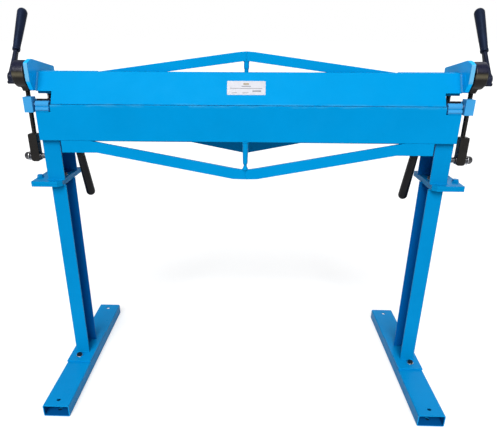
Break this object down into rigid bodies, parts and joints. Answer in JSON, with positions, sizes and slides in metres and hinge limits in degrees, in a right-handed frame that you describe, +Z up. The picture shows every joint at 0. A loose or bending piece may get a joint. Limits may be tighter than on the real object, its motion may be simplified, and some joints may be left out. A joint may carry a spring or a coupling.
{
  "type": "sheet metal brake",
  "caption": "Hand-operated sheet metal folding brake on a two-post stand, with a sloped clamping beam, a hinged bending leaf and eccentric clamp levers at both ends.",
  "frame": {"origin": "on the floor, at the middle of the object's box seen from above, under the middle of the two feet", "axes": "+X along the bend line to the right as the operator sees it, -Y towards the operator, +Z up"},
  "size_m": [1.5572, 0.672, 1.3174],
  "materials": {
    "foot_paint": "gloss blue enamel, light orange peel",
    "stand_paint": "gloss blue enamel, light orange peel",
    "frame_paint": "gloss blue enamel, light orange peel",
    "bed_surface": "gloss blue enamel, rubbed along the front edge",
    "leaf_paint": "gloss blue enamel, rubbed along the top edge",
    "beam_paint": "gloss blue enamel, rubbed along the nose",
    "black_bolts": "blackened steel",
    "zinc_bolts": "bright zinc plate",
    "pivot_steel": "dark zinc plate, bright shank",
    "spring_steel": "dark oiled spring steel",
    "clamp_steel": "black enamelled casting",
    "link_steel": "blackened steel, oiled",
    "lever_grips": "black moulded plastic with a blue-grey sheen",
    "bending_grips": "black moulded plastic"
  },
  "bodies": {
    "frame": {"bed_front_rail": "frame_paint", "bed_table": "bed_surface", "bed_web": "frame_paint", "foot_bolt_front_left": "black_bolts", "foot_bolt_front_right": "black_bolts", "foot_bolt_rear_left": "black_bolts", "foot_bolt_rear_right": "black_bolts", "foot_plate_left": "foot_paint", "foot_plate_right": "foot_paint", "foot_tube_left": "foot_paint", "foot_tube_right": "foot_paint", "guide_stud_left": "zinc_bolts", "guide_stud_right": "zinc_bolts", "hinge_block_left": "frame_paint", "hinge_block_right": "frame_paint", "hinge_pin_left": "zinc_bolts", "hinge_pin_right": "zinc_bolts", "joint_bolt_inner_left": "zinc_bolts", "joint_bolt_inner_right": "zinc_bolts", "joint_bolt_outer_left": "black_bolts", "joint_bolt_outer_right": "black_bolts", "leg_base_plate_left": "frame_paint", "leg_base_plate_right": "frame_paint", "lift_spring_left": "spring_steel", "lift_spring_right": "spring_steel", "machine_leg_left": "frame_paint", "machine_leg_right": "frame_paint", "pivot_bolt_left": "pivot_steel", "pivot_bolt_right": "pivot_steel", "stand_post_left": "stand_paint", "stand_post_right": "stand_paint", "stand_top_plate_left": "stand_paint", "stand_top_plate_right": "stand_paint"},
    "leaf": {"leaf_plate": "leaf_paint", "leaf_strut": "leaf_paint", "leaf_truss_left": "leaf_paint", "leaf_truss_right": "leaf_paint", "leaf_knuckle_left": "leaf_paint", "leaf_knuckle_right": "leaf_paint", "bending_handle_left": "bending_grips", "bending_handle_right": "bending_grips"},
    "beam": {"beam_face": "beam_paint", "beam_web": "beam_paint", "beam_strut": "beam_paint", "beam_truss_left": "beam_paint", "beam_truss_right": "beam_paint", "beam_cheek_left": "beam_paint", "beam_cheek_right": "beam_paint"},
    "clamp_left": {"eccentric_shaft_left": "clamp_steel", "clamp_lever_left": "clamp_steel", "lever_grip_left": "lever_grips"},
    "clamp_right": {"eccentric_shaft_right": "clamp_steel", "clamp_lever_right": "clamp_steel", "lever_grip_right": "lever_grips"},
    "link_left": {"link_head_left": "link_steel", "tie_rod_left": "link_steel", "link_block_left": "link_steel"},
    "link_right": {"link_head_right": "link_steel", "tie_rod_right": "link_steel", "link_block_right": "link_steel"}
  },
  "joints": [
    {"name": "leaf_hinge", "type": "hinge", "parent": "frame", "child": "leaf", "pos_m": [0, -0.04, 1.023], "axis": [-1, 0, 0], "range_deg": [0, 115]},
    {"name": "beam_lift", "type": "slide", "parent": "frame", "child": "beam", "axis": [0, 0, 1], "range_m": [0, 0.015], "deforming": ["lift_spring_left", "lift_spring_right"]},
    {"name": "clamp_turn_left", "type": "hinge", "parent": "beam", "child": "clamp_left", "pos_m": [-0.762, -0.01, 1.103], "axis": [1, 0, 0], "range_deg": [0, 105.5]},
    {"name": "clamp_turn_right", "type": "hinge", "parent": "beam", "child": "clamp_right", "pos_m": [0.762, -0.01, 1.103], "axis": [1, 0, 0], "range_deg": [0, 105.5]},
    {"name": "link_swing_left", "type": "hinge", "parent": "frame", "child": "link_left", "pos_m": [-0.7165, -0.01, 0.846], "axis": [1, 0, 0], "range_deg": [0, 3.2]},
    {"name": "link_swing_right", "type": "hinge", "parent": "frame", "child": "link_right", "pos_m": [0.7165, -0.01, 0.846], "axis": [1, 0, 0], "range_deg": [0, 3.2]}
  ],
  "couplings": [
    {"joint": "clamp_turn_left", "follows": "beam_lift", "rad_per_m": 122.17},
    {"joint": "clamp_turn_right", "follows": "beam_lift", "rad_per_m": 122.17},
    {"joint": "link_swing_left", "follows": "beam_lift", "rad_per_m": 3.4712},
    {"joint": "link_swing_right", "follows": "beam_lift", "rad_per_m": 3.4712}
  ]
}
